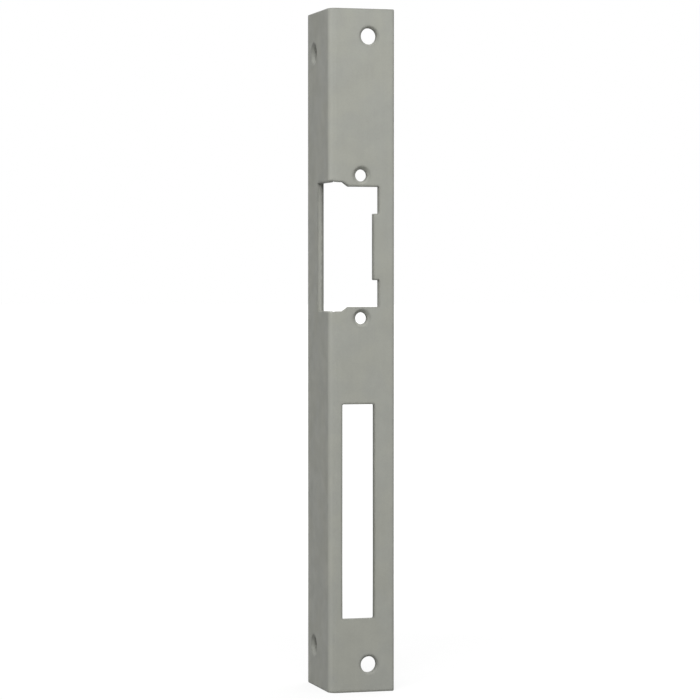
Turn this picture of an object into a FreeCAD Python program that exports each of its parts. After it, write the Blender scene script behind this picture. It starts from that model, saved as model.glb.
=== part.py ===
import FreeCAD, Part
import math
import os
from types import SimpleNamespace

import Sketcher
from FreeCAD import Placement, Rotation, Vector

# Door strike plate: one sheet of steel, punched flat and folded once along its
# length into an angle. The wide leg is the face that shows in the door frame,
# and the other leg is the flange that runs back round the frame's corner.
#
# The sheet is drawn from its lower outer corner: X runs across the face, Y goes
# back from the face along the flange, and Z goes up. Its placement then puts
# the origin midway between the two frame screws, on the back of the face, where
# the plate lies on the door frame.

NODE = "strike_plate"

# Name, size in millimetres or degrees, and what it measures.
SIZES = (
    ("plate_length", 250.0, "whole length of the sheet"),
    ("face_width", 24.5, "width of the face, over the fold"),
    ("flange_depth", 30.0, "depth of the flange, over the fold"),
    ("sheet_thickness", 2.3, "thickness of the sheet"),
    ("fold_radius", 0.6, "inner radius of the fold"),
    ("blank_corner", 0.5, "corner radius of the cut blank"),
    ("outer_rounding", 0.15, "rounding of the other edges on the outer skin"),
    ("inner_rounding", 0.15, "rounding of the edges on the inner skin"),
    ("slot_from_end", 27.0, "lower end of the plate to the bolt slot"),
    ("slot_height", 78.6, "height of the bolt slot"),
    ("slot_width", 12.1, "width of the bolt slot"),
    ("slot_land", 7.5, "metal between the bolt slot and the free edge"),
    ("slot_corner", 0.5, "corner radius of the bolt slot"),
    ("latch_above_bolt", 96.85, "middle of the bolt slot to the middle of the latch opening"),
    ("latch_height", 43.9, "height of the latch opening in the face"),
    ("latch_land", 5.75, "metal between the latch opening and the free edge"),
    ("latch_flange_cut", 16.2, "how far back the latch opening cuts the flange"),
    ("relief_step", 1.6, "how much taller the latch opening is at the fold, at each end"),
    ("relief_margin", 2.2, "how far the taller part runs past the fold, into the face"),
    ("shoulder_run", 2.2, "width of the slanted shoulders between the two heights"),
    ("tab_height", 24.3, "height of the tab that narrows the latch opening"),
    ("tab_reach", 2.05, "how far the tab stands into the latch opening"),
    ("latch_corner", 0.2, "radius of the latch opening's own corners"),
    ("tab_corner", 0.4, "radius of the corners of the tab and of the shoulders"),
    ("latch_rounding", 0.32, "rounding of the latch opening's edges on the outer skin"),
    ("fold_draw", 0.3, "how far folding bows out the ends of the opening at the fold"),
    ("frame_screw_from_end", 10.0, "end of the plate to a frame screw"),
    ("frame_screw_from_edge", 9.5, "free edge to the frame screws"),
    ("frame_screw_bore", 6.0, "bore for a frame screw"),
    ("frame_screw_rim", 0.6, "width of the countersink around that bore"),
    ("strike_screw_land", 0.85, "metal between the latch opening and a strike screw"),
    ("strike_screw_from_edge", 12.3, "free edge to the strike screws"),
    ("strike_screw_bore", 4.4, "bore for a strike screw"),
    ("strike_screw_rim", 1.1, "width of the countersink around that bore"),
    ("flange_screw_from_end", 15.0, "end of the plate to a flange screw"),
    ("flange_screw_from_edge", 8.3, "rear edge of the flange to the flange screws"),
    ("flange_screw_bore", 5.4, "bore for a flange screw"),
    ("flange_screw_rim", 1.3, "width of the countersink around that bore"),
    ("countersink_angle", 90.0, "full angle of the countersinks"),
)

# How a constraint names the points of an edge, a sketch's axes and its origin.
START, END, CENTRE = range(1, 4)
UPRIGHT_AXIS, LEVEL_AXIS = range(-2, 0)
ORIGIN = (LEVEL_AXIS, START)

BISECTOR_ANGLE = 45.0
TOUCH = 1e-4

# Share of the level end, past the fold, that its bow takes up.
BOW_SHARE = 0.8

# Largest shares that a rounding may take of the sheet, of a corner and of the tab.
SHEET_SHARE = 0.35
CORNER_SHARE = 0.8
TAB_SHARE = 0.4


class Size:
    """A size of the sheet, or one worked out from several, with the expression that gives it."""

    def __init__(self, value, text):
        self.value = value
        self.text = text

    def __add__(self, other):
        return Size(self.value + other.value, f"({self.text} + {other.text})")

    def __sub__(self, other):
        return Size(self.value - other.value, f"({self.text} - {other.text})")

    def __mul__(self, number):
        return Size(self.value * number, f"({self.text} * {number})")

    def __truediv__(self, number):
        return Size(self.value / number, f"({self.text} / {number})")

    def __neg__(self):
        return Size(-self.value, f"(-{self.text})")

    def at_most(self, *limits):
        text = "; ".join(size.text for size in (self, *limits))
        return Size(min(size.value for size in (self, *limits)), f"min({text})")


def write_sizes(doc):
    sheet = doc.addObject("Spreadsheet::Sheet", "Sizes")
    for row, (alias, value, meaning) in enumerate(SIZES, start=1):
        sheet.set(f"A{row}", meaning)
        sheet.set(f"B{row}", str(value))
        sheet.setAlias(f"B{row}", alias)
    doc.recompute()
    aliases = [alias for alias, _, _ in SIZES]
    return SimpleNamespace(**{name: Size(float(sheet.get(name)), f"Sizes.{name}") for name in aliases})


def sketch_on(body, name, role, turn=0.0):
    """A sketch on one of the body's origin planes, turned about its own upright axis."""
    plane = next(f for f in body.Origin.OriginFeatures if f.Role == role)
    sketch = body.newObject("Sketcher::SketchObject", name)
    sketch.AttachmentSupport = [(plane, "")]
    sketch.MapMode = "FlatFace"
    sketch.AttachmentOffset = Placement(Vector(), Rotation(Vector(0, 1, 0), turn))
    return sketch


def add_line(sketch, start, end):
    return sketch.addGeometry(Part.LineSegment(Vector(*start, 0), Vector(*end, 0)), False)


def add_arc(sketch, centre, radius, first, last):
    circle = Part.Circle(Vector(*centre, 0), Vector(0, 0, 1), radius)
    return sketch.addGeometry(Part.ArcOfCircle(circle, math.radians(first), math.radians(last)), False)


def constrain(sketch, kind, *refs):
    return sketch.addConstraint(Sketcher.Constraint(kind, *refs))


def measure(sketch, kind, refs, size):
    """A dimension that follows the sheet of sizes."""
    index = constrain(sketch, kind, *refs, size.value)
    sketch.setExpression(f"Constraints[{index}]", size.text)


def measure_point(sketch, kind, point, size):
    """Places a point across or up from the sketch's origin."""
    if size.value < 0:
        measure(sketch, kind, (*point, *ORIGIN), -size)
    else:
        measure(sketch, kind, (*ORIGIN, *point), size)


def outline(sketch, corners):
    """A closed outline of straight sides. A side between equal places is made level or upright."""
    places = [(x.value, y.value) for x, y in corners]
    edges = [add_line(sketch, a, b) for a, b in zip(places, places[1:] + places[:1])]
    for edge, following in zip(edges, edges[1:] + edges[:1]):
        constrain(sketch, "Coincident", edge, END, following, START)
    previous = (None, None)
    for number, (edge, (x, y)) in enumerate(zip(edges, corners)):
        if x is previous[0]:
            constrain(sketch, "Vertical", edges[number - 1])
        else:
            measure_point(sketch, "DistanceX", (edge, START), x)
        if y is previous[1]:
            constrain(sketch, "Horizontal", edges[number - 1])
        else:
            measure_point(sketch, "DistanceY", (edge, START), y)
        previous = (x, y)


def bore_centres(sketch, bore, places):
    """Circles of one size, each where its pair of sizes puts it."""
    edges = []
    for x, y in places:
        circle = Part.Circle(Vector(x.value, y.value, 0), Vector(0, 0, 1), bore.value / 2)
        edge = sketch.addGeometry(circle, False)
        measure_point(sketch, "DistanceX", (edge, CENTRE), x)
        measure_point(sketch, "DistanceY", (edge, CENTRE), y)
        edges.append(edge)
    measure(sketch, "Diameter", edges[:1], bore)
    for edge in edges[1:]:
        constrain(sketch, "Equal", edges[0], edge)


def cut(body, name, sketch, depth=None):
    """A pocket behind the sketch's plane, as deep as it says or right through."""
    pocket = body.newObject("PartDesign::Pocket", name)
    pocket.Profile = sketch
    if depth is None:
        pocket.Type = "ThroughAll"
    else:
        pocket.setExpression("Length", depth.text)
    return pocket


def folded_sheet(body, s):
    """The angle's section, its fold drawn as two arcs on one centre, carried up its length."""
    width = s.face_width.value
    depth = s.flange_depth.value
    thick = s.sheet_thickness.value
    inner = s.fold_radius.value
    outer = inner + thick
    sketch = sketch_on(body, "section", "XY_Plane")
    flange_out = add_line(sketch, (0, depth), (0, outer))
    fold_out = add_arc(sketch, (outer, outer), outer, 180, 270)
    face_out = add_line(sketch, (outer, 0), (width, 0))
    free_edge = add_line(sketch, (width, 0), (width, thick))
    face_in = add_line(sketch, (width, thick), (outer, thick))
    fold_in = add_arc(sketch, (outer, outer), inner, 180, 270)
    flange_in = add_line(sketch, (thick, outer), (thick, depth))
    rear_edge = add_line(sketch, (thick, depth), (0, depth))

    constrain(sketch, "Tangent", flange_out, END, fold_out, START)
    constrain(sketch, "Tangent", fold_out, END, face_out, START)
    constrain(sketch, "Coincident", face_out, END, free_edge, START)
    constrain(sketch, "Coincident", free_edge, END, face_in, START)
    constrain(sketch, "Tangent", face_in, END, fold_in, END)
    constrain(sketch, "Tangent", fold_in, START, flange_in, START)
    constrain(sketch, "Coincident", flange_in, END, rear_edge, START)
    constrain(sketch, "Coincident", rear_edge, END, flange_out, START)
    constrain(sketch, "Coincident", fold_out, CENTRE, fold_in, CENTRE)
    constrain(sketch, "PointOnObject", flange_out, START, UPRIGHT_AXIS)
    constrain(sketch, "PointOnObject", face_out, END, LEVEL_AXIS)
    for upright in (flange_out, free_edge, flange_in):
        constrain(sketch, "Vertical", upright)
    for level in (face_out, face_in, rear_edge):
        constrain(sketch, "Horizontal", level)
    measure_point(sketch, "DistanceX", (face_out, END), s.face_width)
    measure_point(sketch, "DistanceY", (flange_out, START), s.flange_depth)
    measure(sketch, "DistanceY", (free_edge, START, free_edge, END), s.sheet_thickness)
    measure(sketch, "Radius", (fold_in,), s.fold_radius)

    pad = body.newObject("PartDesign::Pad", "folded_sheet")
    pad.Profile = sketch
    pad.setExpression("Length", s.plate_length.text)


def bolt_slot(body, s):
    """The long plain slot for the deadbolt, through the face alone."""
    right = s.face_width - s.slot_land
    left = right - s.slot_width
    bottom = s.slot_from_end
    top = bottom + s.slot_height
    sketch = sketch_on(body, "slot_outline", "XZ_Plane")
    outline(sketch, [(left, bottom), (right, bottom), (right, top), (left, top)])
    cut(body, "bolt_slot", sketch)


def latch_middle(s):
    return s.slot_from_end + s.slot_height / 2 + s.latch_above_bolt


def latch_shoulder(s):
    """Where the latch opening's shoulders end and its plain height begins, across the face."""
    return s.fold_radius + s.sheet_thickness + s.relief_margin + s.shoulder_run


def tab_edge(s):
    """Where the tab ends, across the face."""
    return s.face_width - s.latch_land - s.tab_reach


def latch_opening(body, s):
    """The stepped opening, punched through the face, the fold and the front of the flange."""
    middle = latch_middle(s)
    outside = -s.sheet_thickness
    shoulder = latch_shoulder(s)
    step = shoulder - s.shoulder_run
    tab = tab_edge(s)
    far = tab + s.tab_reach
    plain = s.latch_height / 2
    tall = plain + s.relief_step
    half_tab = s.tab_height / 2
    top, high, upper = middle + tall, middle + plain, middle + half_tab
    foot, low, under = middle - tall, middle - plain, middle - half_tab
    sketch = sketch_on(body, "latch_outline", "XZ_Plane")
    outline(sketch, [
        (outside, top), (step, top), (shoulder, high), (far, high), (far, upper), (tab, upper),
        (tab, under), (far, under), (far, low), (shoulder, low), (step, foot), (outside, foot)])
    cut(body, "latch_opening", sketch, s.latch_flange_cut)


def bowed_ends(body, s):
    """Folding has bowed out both ends of the latch opening where they cross the fold.

    Each bow is three equal arcs in the upright plane that halves the fold. They run smoothly
    out of the level end and back into it, and are carried square to that plane."""
    reach = (s.fold_radius + s.relief_margin * BOW_SHARE) / math.sqrt(2)
    bend = Size((reach.value ** 2 + s.fold_draw.value ** 2) / (4 * s.fold_draw.value),
                f"({reach.text} ^ 2 + {s.fold_draw.text} ^ 2) / (4 * {s.fold_draw.text})")
    spread = math.degrees(math.asin(reach.value / 2 / bend.value))
    half = s.latch_height / 2 + s.relief_step
    top = latch_middle(s) + half
    foot = latch_middle(s) - half
    sketch = sketch_on(body, "bow_outline", "XZ_Plane", -BISECTOR_ANGLE)
    left = add_line(sketch, (-reach.value, top.value), (-reach.value, foot.value))
    right = add_line(sketch, (reach.value, foot.value), (reach.value, top.value))
    for upright in (left, right):
        constrain(sketch, "Vertical", upright)
    measure_point(sketch, "DistanceX", (left, START), -reach)
    measure_point(sketch, "DistanceX", (right, END), reach)
    for end, side, first, second in ((top, 1, START, END), (foot, -1, END, START)):
        beyond = end.value + bend.value * side
        within = end.value + (s.fold_draw.value - bend.value) * side
        up = 90 * side
        near = add_arc(sketch, (-reach.value, beyond), bend.value, *sorted((-up, spread * side - up)))
        middle = add_arc(sketch, (0, within), bend.value, up - spread, up + spread)
        far = add_arc(sketch, (reach.value, beyond), bend.value, *sorted((-up, -spread * side - up)))
        constrain(sketch, "Coincident", left, first, near, first)
        constrain(sketch, "Tangent", near, second, middle, second)
        constrain(sketch, "Tangent", middle, first, far, first)
        constrain(sketch, "Coincident", far, second, right, second)
        constrain(sketch, "Vertical", near, CENTRE, left, first)
        constrain(sketch, "Vertical", far, CENTRE, right, second)
        constrain(sketch, "PointOnObject", middle, CENTRE, UPRIGHT_AXIS)
        constrain(sketch, "Equal", near, middle)
        constrain(sketch, "Equal", far, middle)
        measure(sketch, "Radius", (middle,), bend)
        measure_point(sketch, "DistanceY", (right, second), end)
    cut(body, "bowed_ends", sketch)


def screw_holes(doc, body, s, name, role, places, bore, rim):
    """Countersunk holes through one leg, sunk from its outer side."""
    sketch = sketch_on(body, f"{name}_centres", role)
    bore_centres(sketch, bore, places)
    doc.recompute()
    hole = body.newObject("PartDesign::Hole", name)
    hole.Profile = sketch
    doc.recompute()
    hole.Threaded = False
    hole.DepthType = "ThroughAll"
    hole.HoleCutType = "Countersink"
    hole.HoleCutCustomValues = True
    hole.Reversed = role == "YZ_Plane"
    hole.setExpression("Diameter", bore.text)
    hole.setExpression("HoleCutDiameter", (bore + rim * 2).text)
    hole.setExpression("HoleCutCountersinkAngle", s.countersink_angle.text)
    doc.recompute()


def frame_screws(doc, body, s):
    across = s.face_width - s.frame_screw_from_edge
    low = s.frame_screw_from_end
    high = s.plate_length - low
    screw_holes(doc, body, s, "frame_screw_holes", "XZ_Plane", [(across, low), (across, high)],
                s.frame_screw_bore, s.frame_screw_rim)


def strike_screws(doc, body, s):
    across = s.face_width - s.strike_screw_from_edge
    away = s.latch_height / 2 + s.strike_screw_land + s.strike_screw_rim + s.strike_screw_bore / 2
    low = latch_middle(s) - away
    high = latch_middle(s) + away
    screw_holes(doc, body, s, "strike_screw_holes", "XZ_Plane", [(across, low), (across, high)],
                s.strike_screw_bore, s.strike_screw_rim)


def flange_screws(doc, body, s):
    back = s.flange_depth - s.flange_screw_from_edge
    low = s.flange_screw_from_end
    high = s.plate_length - low
    screw_holes(doc, body, s, "flange_screw_holes", "YZ_Plane", [(back, low), (back, high)],
                s.flange_screw_bore, s.flange_screw_rim)


def is_flat(face, axis, offset):
    """Whether a face lies in the plane square to an axis at an offset along it."""
    if face.Surface.TypeId != "Part::GeomPlane":
        return False
    box = face.BoundBox
    low = (box.XMin, box.YMin, box.ZMin)[axis]
    high = (box.XMax, box.YMax, box.ZMax)[axis]
    return abs(low - offset) < TOUCH and abs(high - offset) < TOUCH


def is_fold(face, radius):
    surface = face.Surface
    if surface.TypeId != "Part::GeomCylinder" or abs(surface.Axis.z) < 1 - TOUCH:
        return False
    return abs(surface.Radius - radius) < TOUCH


def is_screw_hole(face):
    """Whether a face is the countersink or the round wall of a screw hole."""
    if face.Surface.TypeId == "Part::GeomCone":
        return True
    return face.Surface.TypeId == "Part::GeomCylinder" and any(e.isClosed() for e in face.Edges)


class Skins:
    """Tells the sheet's faces apart: its two skins, the edges of its blank and its punched walls."""

    def __init__(self, s):
        self.thick = s.sheet_thickness.value
        self.inner_radius = s.fold_radius.value
        self.blank_planes = (
            (0, s.face_width.value), (1, s.flange_depth.value), (2, 0.0), (2, s.plate_length.value))

    def is_outer(self, face):
        fold = self.inner_radius + self.thick
        return is_flat(face, 0, 0) or is_flat(face, 1, 0) or is_fold(face, fold)

    def is_inner(self, face):
        return (is_flat(face, 0, self.thick) or is_flat(face, 1, self.thick)
                or is_fold(face, self.inner_radius))

    def is_blank(self, face):
        return any(is_flat(face, axis, offset) for axis, offset in self.blank_planes)

    def is_wall(self, face):
        return not (self.is_outer(face) or self.is_inner(face) or is_screw_hole(face))

    def is_across(self, edge):
        """Whether an edge runs straight through the sheet from skin to skin."""
        run = edge.Vertexes[-1].Point - edge.Vertexes[0].Point
        if abs(edge.Length - self.thick) > TOUCH or abs(run.z) > TOUCH:
            return False
        return min(abs(run.x), abs(run.y)) < TOUCH


def round_edges(doc, body, name, radius, wanted):
    """Rounds the edges that the test picks, each by its own course and the two faces beside it."""
    base = body.Tip
    names = []
    for number, edge in enumerate(base.Shape.Edges, start=1):
        faces = base.Shape.ancestorsOfType(edge, Part.Face)
        if len(faces) == 2 and wanted(edge, *faces):
            names.append(f"Edge{number}")
    fillet = body.newObject("PartDesign::Fillet", name)
    fillet.Base = (base, names)
    fillet.setExpression("Radius", radius.text)
    doc.recompute()


def round_sheet(doc, body, s):
    """Corners first, then the edges along both skins. The screw holes keep crisp rims.

    The latch opening has near-square inside corners, and rounder ones where the metal stands out
    into it, at the tab and the shoulders. Its rim is rounded more than the sheet's other edges."""
    skins = Skins(s)
    latch_corner = s.latch_corner.at_most(s.tab_reach * TAB_SHARE)
    tab_corner = s.tab_corner.at_most(s.tab_reach * TAB_SHARE)
    widest = (s.sheet_thickness * SHEET_SHARE, s.blank_corner * CORNER_SHARE, tab_corner * CORNER_SHARE)
    slot_top = (s.slot_from_end + s.slot_height).value + TOUCH
    latch_limit = (s.plate_length - s.blank_corner).value - TOUCH
    standing_corners = (latch_shoulder(s).value, tab_edge(s).value)

    def is_at_latch(edge):
        return edge.BoundBox.ZMin > slot_top and edge.BoundBox.ZMax < latch_limit

    def at_blank_corner(edge, one, other):
        return skins.is_across(edge) and skins.is_blank(one) and skins.is_blank(other)

    def at_punched_corner(edge, one, other):
        if not skins.is_across(edge) or skins.is_blank(one) or skins.is_blank(other):
            return False
        return skins.is_wall(one) and skins.is_wall(other)

    def at_slot_corner(edge, one, other):
        return at_punched_corner(edge, one, other) and not is_at_latch(edge)

    def at_tab_corner(edge, one, other):
        if not at_punched_corner(edge, one, other):
            return False
        across = edge.Vertexes[0].Point.x
        return is_at_latch(edge) and any(abs(across - place) < TOUCH for place in standing_corners)

    def at_latch_corner(edge, one, other):
        return at_punched_corner(edge, one, other) and is_at_latch(edge)

    def on_outer_skin(edge, one, other):
        return skins.is_outer(one) and skins.is_wall(other) or skins.is_wall(one) and skins.is_outer(other)

    def on_latch_rim(edge, one, other):
        return on_outer_skin(edge, one, other) and is_at_latch(edge)

    def on_inner_skin(edge, one, other):
        return skins.is_inner(one) and skins.is_wall(other) or skins.is_wall(one) and skins.is_inner(other)

    round_edges(doc, body, "blank_corners", s.blank_corner, at_blank_corner)
    round_edges(doc, body, "slot_corners", s.slot_corner, at_slot_corner)
    round_edges(doc, body, "tab_corners", tab_corner, at_tab_corner)
    round_edges(doc, body, "latch_corners", latch_corner, at_latch_corner)
    round_edges(doc, body, "latch_rim", s.latch_rounding.at_most(*widest), on_latch_rim)
    round_edges(doc, body, "outer_edges", s.outer_rounding.at_most(*widest), on_outer_skin)
    round_edges(doc, body, "inner_edges", s.inner_rounding.at_most(*widest), on_inner_skin)


def strike_plate(doc, s):
    body = doc.addObject("PartDesign::Body", NODE)
    folded_sheet(body, s)
    latch_opening(body, s)
    bowed_ends(body, s)
    bolt_slot(body, s)
    frame_screws(doc, body, s)
    strike_screws(doc, body, s)
    flange_screws(doc, body, s)
    round_sheet(doc, body, s)
    body.Label = NODE
    body.setExpression("Placement.Base.x", (s.frame_screw_from_edge - s.face_width).text)
    body.setExpression("Placement.Base.y", (-s.sheet_thickness).text)
    body.setExpression("Placement.Base.z", (-s.plate_length / 2).text)
    return body


def check(doc, body):
    for item in doc.Objects:
        if {"Invalid", "Error"} & set(item.State):
            raise RuntimeError(f"{item.Label} failed: {item.State}")
    if body.Shape.isNull() or not body.Shape.isValid() or len(body.Shape.Solids) != 1:
        raise RuntimeError(f"{body.Label} isn't one valid solid")


def main():
    doc = FreeCAD.newDocument("door_strike_plate")
    body = strike_plate(doc, write_sizes(doc))
    doc.recompute()
    check(doc, body)
    os.makedirs("parts", exist_ok=True)
    body.Shape.exportStep(f"parts/{body.Label}.step")


main()
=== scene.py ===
import math

import bpy
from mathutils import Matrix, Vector


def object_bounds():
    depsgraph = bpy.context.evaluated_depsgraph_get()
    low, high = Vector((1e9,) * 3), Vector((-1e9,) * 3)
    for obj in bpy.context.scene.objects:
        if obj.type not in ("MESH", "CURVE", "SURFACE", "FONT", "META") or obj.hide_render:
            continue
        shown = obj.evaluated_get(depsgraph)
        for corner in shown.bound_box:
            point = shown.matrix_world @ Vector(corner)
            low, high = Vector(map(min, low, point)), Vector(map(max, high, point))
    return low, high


# The strike plate stands on a pale floor, seen from a little to the left of its face.
# Lengths are metres, in the part's own frame: X across the face from the fold to the
# free edge, Y back along the flange, Z up, with the origin on the back of the face.

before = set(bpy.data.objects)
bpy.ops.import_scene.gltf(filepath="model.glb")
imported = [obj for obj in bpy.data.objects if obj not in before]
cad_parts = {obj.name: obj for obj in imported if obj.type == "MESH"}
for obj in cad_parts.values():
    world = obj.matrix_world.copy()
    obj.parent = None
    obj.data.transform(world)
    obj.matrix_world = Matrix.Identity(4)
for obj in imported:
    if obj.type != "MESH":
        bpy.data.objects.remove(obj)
cad_low, cad_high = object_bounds()
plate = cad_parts["strike_plate"]

# Camera, from its place and turn about the plate, with the picture's own field of view.
IMAGE_SIDE_PX = 700
FOCAL_PX = 2750.0
SENSOR = 36.0
CAMERA_AT = Vector((-0.2853, -0.9668, 0.0239))
CAMERA_YAW = math.radians(16.08)
CAMERA_PITCH = math.radians(-1.336)
CAMERA_NEAR = 0.01
CAMERA_FAR = 100.0

# Sheet, as it is folded, and the depths over which its skin gives way to a cut wall.
SHEET = 0.0023
FOLD_OUTER_RADIUS = 0.0029
SKIN_DEPTH = (0.00005, 0.0002)

# Paint, as linear colour. The coat is a matt grey with a trace of yellow-green, and the
# lengthwise grain of the rolled sheet shows through it as faint streaks. A pair of shades or
# of roughnesses stands for the two ends of the noise range.
PAINT = (0.338, 0.344, 0.311, 1.0)
PAINT_WARM = (0.340, 0.344, 0.304, 1.0)
NOISE_RANGE = (0.3, 0.7)
PAINT_ROUGHNESS = (0.55, 0.68)
PAINT_SPECULAR = 0.25
TINT_PATCH = 0.012
TINT_RANGE = (0.35, 0.65)
CLOUD_PATCH = 0.006
CLOUD_SHADE = (0.975, 1.025)
STREAK_SIZE = 0.0012
STREAK_STRETCH = 25.0
STREAK_SHADE = (0.992, 1.008)
SPECKLE_SIZE = 0.0006
SPECKLE_SHADE = (0.982, 1.018)
SHEEN_PATCH = 0.0045
PEEL_SIZE = 0.0010
PEEL_HEIGHT = 0.000010
GRAIN_SIZE = 0.00028
GRAIN_HEIGHT = 0.000004

# Punched walls: the punch shears the first part of the thickness smooth and tears the rest.
# They are darkened, most of all over the tear, partly for the thinner coat and partly as painted shade in
# these recesses.
CUT_COAT_AND_SHADE = 0.98
TEAR_COAT_AND_SHADE = 0.7
TEAR_DEPTH = (0.0010, 0.0019)
TEAR_WANDER = 0.00025
TEAR_PATCH = 0.0018
TEAR_SIZE = 0.00045
TEAR_HEIGHT = 0.000030

# Fold: a painted highlight, a lighter band along the outside of the fold.
FOLD_BRIGHT = (math.radians(20), math.radians(55))
FOLD_DULL = (math.radians(76), math.radians(89))
FOLD_PAINTED_HIGHLIGHT = 1.19

# Edges: the coat rounds them off, and handling has rubbed it smoother here and there; the same patches carry
# painted shade, a darker line along the edges.
# The turn is the cosine between the rounded surface and the sheet's own.
EDGE_ROUND = 0.0014
EDGE_SAMPLES = 4
EDGE_TURN = (0.998, 0.95)
EDGE_PAINTED_SHADE = 0.8
EDGE_ROUGHNESS = 0.46
RUB_AND_SHADE_PATCH = 0.005
RUB_AND_SHADE_RANGE = (0.3, 0.65)
RUB_AND_SHADE_SHARE = (0.5, 1.0)

# Light: an even surround, two soft lamps in front and a weaker one that fills the back. A lamp's
# level is what a white surface that faces it shows, at the origin. Azimuth 0 is straight in
# front of the face, and left is positive.
AMBIENT = 0.6
LAMPS = {
    "key": {"azimuth": 22, "elevation": 45, "distance": 0.8, "size": 0.5, "level": 0.63},
    "front": {"azimuth": 10, "elevation": 15, "distance": 0.8, "size": 0.5, "level": 0.19},
    "back": {"azimuth": 215, "elevation": 35, "distance": 0.8, "size": 0.5, "level": 0.3},
}

# Floor: white to the eye, with the lamps' shadow in it near the plate.
FLOOR_SIDE = 20.0
FLOOR_COLOR = (0.2, 0.2, 0.2, 1.0)
FLOOR_LIT = 0.207
SHADOW_REACH = (0.15, 0.45)

WHITE = (1.0, 1.0, 1.0, 1.0)


def add_camera():
    data = bpy.data.cameras.new("camera")
    data.sensor_width = SENSOR
    data.lens = FOCAL_PX * SENSOR / IMAGE_SIDE_PX
    data.clip_start = CAMERA_NEAR
    data.clip_end = CAMERA_FAR
    camera = bpy.data.objects.new("camera", data)
    camera.location = CAMERA_AT
    camera.rotation_euler = (math.pi / 2 + CAMERA_PITCH, 0.0, -CAMERA_YAW)
    bpy.context.scene.collection.objects.link(camera)
    bpy.context.scene.camera = camera


def new_material(name):
    material = bpy.data.materials.new(name)
    material.use_nodes = True
    tree = material.node_tree
    tree.nodes.clear()
    return material, tree


def fill_in(tree, socket, value):
    """Links a socket to another, or gives it a plain value."""
    if isinstance(value, bpy.types.NodeSocket):
        tree.links.new(value, socket)
    else:
        socket.default_value = value


def add_node(tree, kind, **values):
    """A node with its properties and sockets set by name."""
    node = tree.nodes.new(kind)
    sockets = {name: value for name, value in values.items() if name.replace("_", " ") in node.inputs}
    for name in values.keys() - sockets.keys():
        setattr(node, name, values[name])
    for name, value in sockets.items():
        fill_in(tree, node.inputs[name.replace("_", " ")], value)
    return node


def calculate(tree, operation, *terms):
    """One step of arithmetic on numbers."""
    node = add_node(tree, "ShaderNodeMath", operation=operation)
    for socket, term in zip(node.inputs, terms):
        fill_in(tree, socket, term)
    return node.outputs["Value"]


def calculate_vector(tree, operation, *terms):
    """One step of arithmetic on vectors or colours."""
    node = add_node(tree, "ShaderNodeVectorMath", operation=operation)
    for socket, term in zip(node.inputs, terms):
        fill_in(tree, socket, term)
    return node.outputs["Value" if operation in ("LENGTH", "DOT_PRODUCT") else "Vector"]


def patches(tree, place, size, detail=2.0):
    """Soft noise with patches about one size across, from 0 to 1 and mostly near 0.5."""
    return add_node(tree, "ShaderNodeTexNoise", Vector=place, Scale=1.0 / size, Detail=detail).outputs["Fac"]


def spread(tree, value, source, target, shape="SMOOTHSTEP"):
    """Takes a value from one range to another, and holds it at the ends."""
    (from_min, from_max), (to_min, to_max) = source, target
    node = add_node(tree, "ShaderNodeMapRange", Value=value, From_Min=from_min, From_Max=from_max,
                    To_Min=to_min, To_Max=to_max, interpolation_type=shape)
    return node.outputs["Result"]


def blend_colors(tree, share, first, second):
    """A blend of two colours. The node's sockets share their names, so they go by number."""
    node = add_node(tree, "ShaderNodeMix", data_type="RGBA")
    factor, color_a, color_b = node.inputs[0], node.inputs[6], node.inputs[7]
    for socket, value in ((factor, share), (color_a, first), (color_b, second)):
        fill_in(tree, socket, value)
    return node.outputs[2]


def outward_from_fold(tree, place):
    """From the axis of the fold straight out to a point, with no part that points back into the angle."""
    fold_axis = (cad_low.x + FOLD_OUTER_RADIUS, cad_low.y + FOLD_OUTER_RADIUS, 0.0)
    outward = calculate_vector(tree, "SUBTRACT", fold_axis, place)
    outward = calculate_vector(tree, "MAXIMUM", outward, (0.0, 0.0, 0.0))
    return calculate_vector(tree, "MULTIPLY", outward, (1.0, 1.0, 0.0))


def fold_highlight_zone(tree, outward, depth):
    """Where the fold's painted highlight goes: 1 along the outside of the fold, 0 on the face and on the
    flange.
    """
    parts = add_node(tree, "ShaderNodeSeparateXYZ", Vector=outward).outputs
    turn = calculate(tree, "ARCTAN2", parts["X"], parts["Y"])
    begins = spread(tree, turn, FOLD_BRIGHT, (0.0, 1.0))
    ends = spread(tree, turn, FOLD_DULL, (1.0, 0.0))
    on_skin = spread(tree, depth, (0.0, SKIN_DEPTH[1]), (1.0, 0.0))
    return calculate(tree, "MULTIPLY", calculate(tree, "MULTIPLY", begins, ends), on_skin)


def cut_walls(tree, place, depth):
    """1 on the walls of cuts, and 1 where the punch tore them. Both are 0 on the two skins."""
    inside = spread(tree, depth, (SHEET - SKIN_DEPTH[1], SHEET - SKIN_DEPTH[0]), (1.0, 0.0))
    cut = spread(tree, depth, SKIN_DEPTH, (0.0, 1.0))
    wander = spread(tree, patches(tree, place, TEAR_PATCH), NOISE_RANGE, (-TEAR_WANDER, TEAR_WANDER))
    torn = spread(tree, calculate(tree, "ADD", depth, wander), TEAR_DEPTH, (0.0, 1.0))
    return [calculate(tree, "MULTIPLY", zone, inside) for zone in (cut, torn)]


def edges_rubbed_and_shaded(tree, place, rounded):
    """1 along the edges where the coat is rubbed smoother and painted shade darkens it, 0 elsewhere."""
    facing = add_node(tree, "ShaderNodeNewGeometry").outputs["Normal"]
    turn = calculate_vector(tree, "DOT_PRODUCT", rounded, facing)
    edge = spread(tree, turn, EDGE_TURN, (0.0, 1.0))
    share = spread(tree, patches(tree, place, RUB_AND_SHADE_PATCH), RUB_AND_SHADE_RANGE, RUB_AND_SHADE_SHARE)
    return calculate(tree, "MULTIPLY", edge, share)


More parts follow.
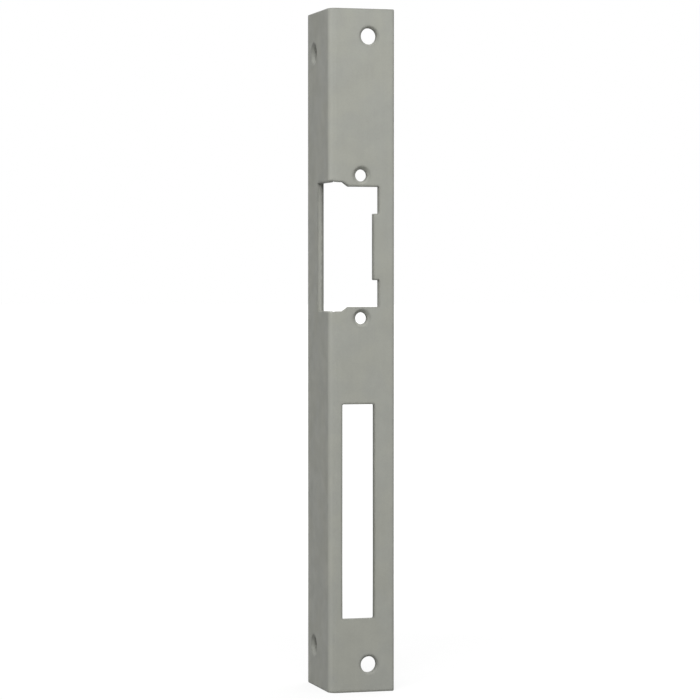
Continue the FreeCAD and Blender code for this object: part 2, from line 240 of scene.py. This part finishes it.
def paint():
    """Matt grey powder coat on punched and folded steel."""
    material, tree = new_material("grey_paint")
    place = add_node(tree, "ShaderNodeTexCoord").outputs["Object"]
    outward = outward_from_fold(tree, place)
    depth = calculate(tree, "SUBTRACT", FOLD_OUTER_RADIUS, calculate_vector(tree, "LENGTH", outward))
    # The cut walls get darker, partly for their thinner coat and partly as painted shade.
    cut, torn = cut_walls(tree, place, depth)
    rounded = add_node(tree, "ShaderNodeBevel", samples=EDGE_SAMPLES, Radius=EDGE_ROUND).outputs["Normal"]
    # One mask for the edges: it makes the coat smoother there and darkens it with painted shade.
    edge_rub_and_shade = edges_rubbed_and_shaded(tree, place, rounded)

    tint = spread(tree, patches(tree, place, TINT_PATCH), TINT_RANGE, (0.0, 1.0))
    color = blend_colors(tree, tint, PAINT, PAINT_WARM)
    along = calculate_vector(tree, "MULTIPLY", place, (1.0, 1.0, 1.0 / STREAK_STRETCH))
    for where, size, shades in ((place, CLOUD_PATCH, CLOUD_SHADE), (along, STREAK_SIZE, STREAK_SHADE),
                                (place, SPECKLE_SIZE, SPECKLE_SHADE)):
        shade = spread(tree, patches(tree, where, size), NOISE_RANGE, shades)
        color = calculate_vector(tree, "MULTIPLY", color, shade)
    # A painted highlight along the outside of the fold.
    fold_highlight = fold_highlight_zone(tree, outward, depth)
    for zone, shade in ((cut, CUT_COAT_AND_SHADE), (torn, TEAR_COAT_AND_SHADE), (edge_rub_and_shade, EDGE_PAINTED_SHADE), (fold_highlight, FOLD_PAINTED_HIGHLIGHT)):
        factor = spread(tree, zone, (0.0, 1.0), (1.0, shade), "LINEAR")
        color = calculate_vector(tree, "MULTIPLY", color, factor)

    sheen = spread(tree, patches(tree, place, SHEEN_PATCH, detail=3.0), NOISE_RANGE, PAINT_ROUGHNESS)
    polish = calculate(tree, "MULTIPLY", edge_rub_and_shade, EDGE_ROUGHNESS - PAINT_ROUGHNESS[0])
    roughness = calculate(tree, "ADD", sheen, polish)

    peel = patches(tree, place, PEEL_SIZE)
    grain = patches(tree, place, GRAIN_SIZE)
    tear = calculate(tree, "MULTIPLY", torn, patches(tree, place, TEAR_SIZE, detail=4.0))
    normal = rounded
    for relief, size in ((peel, PEEL_HEIGHT), (grain, GRAIN_HEIGHT), (tear, TEAR_HEIGHT)):
        bump = add_node(tree, "ShaderNodeBump", Height=relief, Distance=size, Normal=normal)
        normal = bump.outputs["Normal"]

    shader = add_node(tree, "ShaderNodeBsdfPrincipled", Base_Color=color, Roughness=roughness, Normal=normal,
                      Specular_IOR_Level=PAINT_SPECULAR)
    add_node(tree, "ShaderNodeOutputMaterial", Surface=shader.outputs["BSDF"])
    return material


def seen_directly(tree):
    """1 for what is seen, in gloss and through glass too, and 0 for light on its way to a surface."""
    path = add_node(tree, "ShaderNodeLightPath")
    indirect = calculate(tree, "MAXIMUM", path.outputs["Is Glossy Ray"], path.outputs["Is Transmission Ray"])
    return calculate(tree, "MAXIMUM", path.outputs["Is Camera Ray"], indirect)


def add_world():
    world = bpy.data.worlds.new("surround")
    world.use_nodes = True
    tree = world.node_tree
    tree.nodes.clear()
    level = spread(tree, seen_directly(tree), (0.0, 1.0), (AMBIENT, 1.0), "LINEAR")
    background = add_node(tree, "ShaderNodeBackground", Color=WHITE, Strength=level)
    add_node(tree, "ShaderNodeOutputWorld", Surface=background.outputs["Background"])
    bpy.context.scene.world = world


def add_lamp(name, azimuth, elevation, distance, size, level):
    data = bpy.data.lights.new(name, "AREA")
    data.shape = "SQUARE"
    data.size = size
    data.energy = level * (math.pi * distance) ** 2
    lamp = bpy.data.objects.new(name, data)
    turn, rise = math.radians(azimuth), math.radians(elevation)
    away = Vector((-math.sin(turn) * math.cos(rise), -math.cos(turn) * math.cos(rise), math.sin(rise)))
    lamp.location = away * distance
    lamp.rotation_euler = away.to_track_quat("Z", "Y").to_euler()
    lamp.visible_camera = False
    bpy.context.scene.collection.objects.link(lamp)


def floor_material():
    """Pale floor whose own light is topped up to white for the eye, and less close to the plate."""
    material, tree = new_material("floor")
    place = add_node(tree, "ShaderNodeTexCoord").outputs["Object"]
    away = calculate_vector(tree, "LENGTH", calculate_vector(tree, "MULTIPLY", place, (1.0, 1.0, 0.0)))
    missing = spread(tree, away, SHADOW_REACH, (1.0 - FLOOR_LIT, 1.0))
    glow = calculate(tree, "MULTIPLY", missing, seen_directly(tree))
    lit = add_node(tree, "ShaderNodeBsdfDiffuse", Color=FLOOR_COLOR)
    white = add_node(tree, "ShaderNodeEmission", Color=WHITE, Strength=glow)
    both = add_node(tree, "ShaderNodeAddShader")
    fill_in(tree, both.inputs[0], lit.outputs["BSDF"])
    fill_in(tree, both.inputs[1], white.outputs["Emission"])
    add_node(tree, "ShaderNodeOutputMaterial", Surface=both.outputs["Shader"])
    return material


def add_floor(height):
    mesh = bpy.data.meshes.new("floor")
    corners = [(x * FLOOR_SIDE, y * FLOOR_SIDE, height) for x, y in ((-1, -1), (1, -1), (1, 1), (-1, 1))]
    mesh.from_pydata(corners, [], [(0, 1, 2, 3)])
    mesh.materials.append(floor_material())
    floor = bpy.data.objects.new("floor", mesh)
    bpy.context.scene.collection.objects.link(floor)


bpy.context.scene.view_settings.view_transform = "Standard"
add_camera()
plate.material_slots[0].material = paint()
add_world()
for name, lamp in LAMPS.items():
    add_lamp(name, **lamp)
add_floor(cad_low.z)
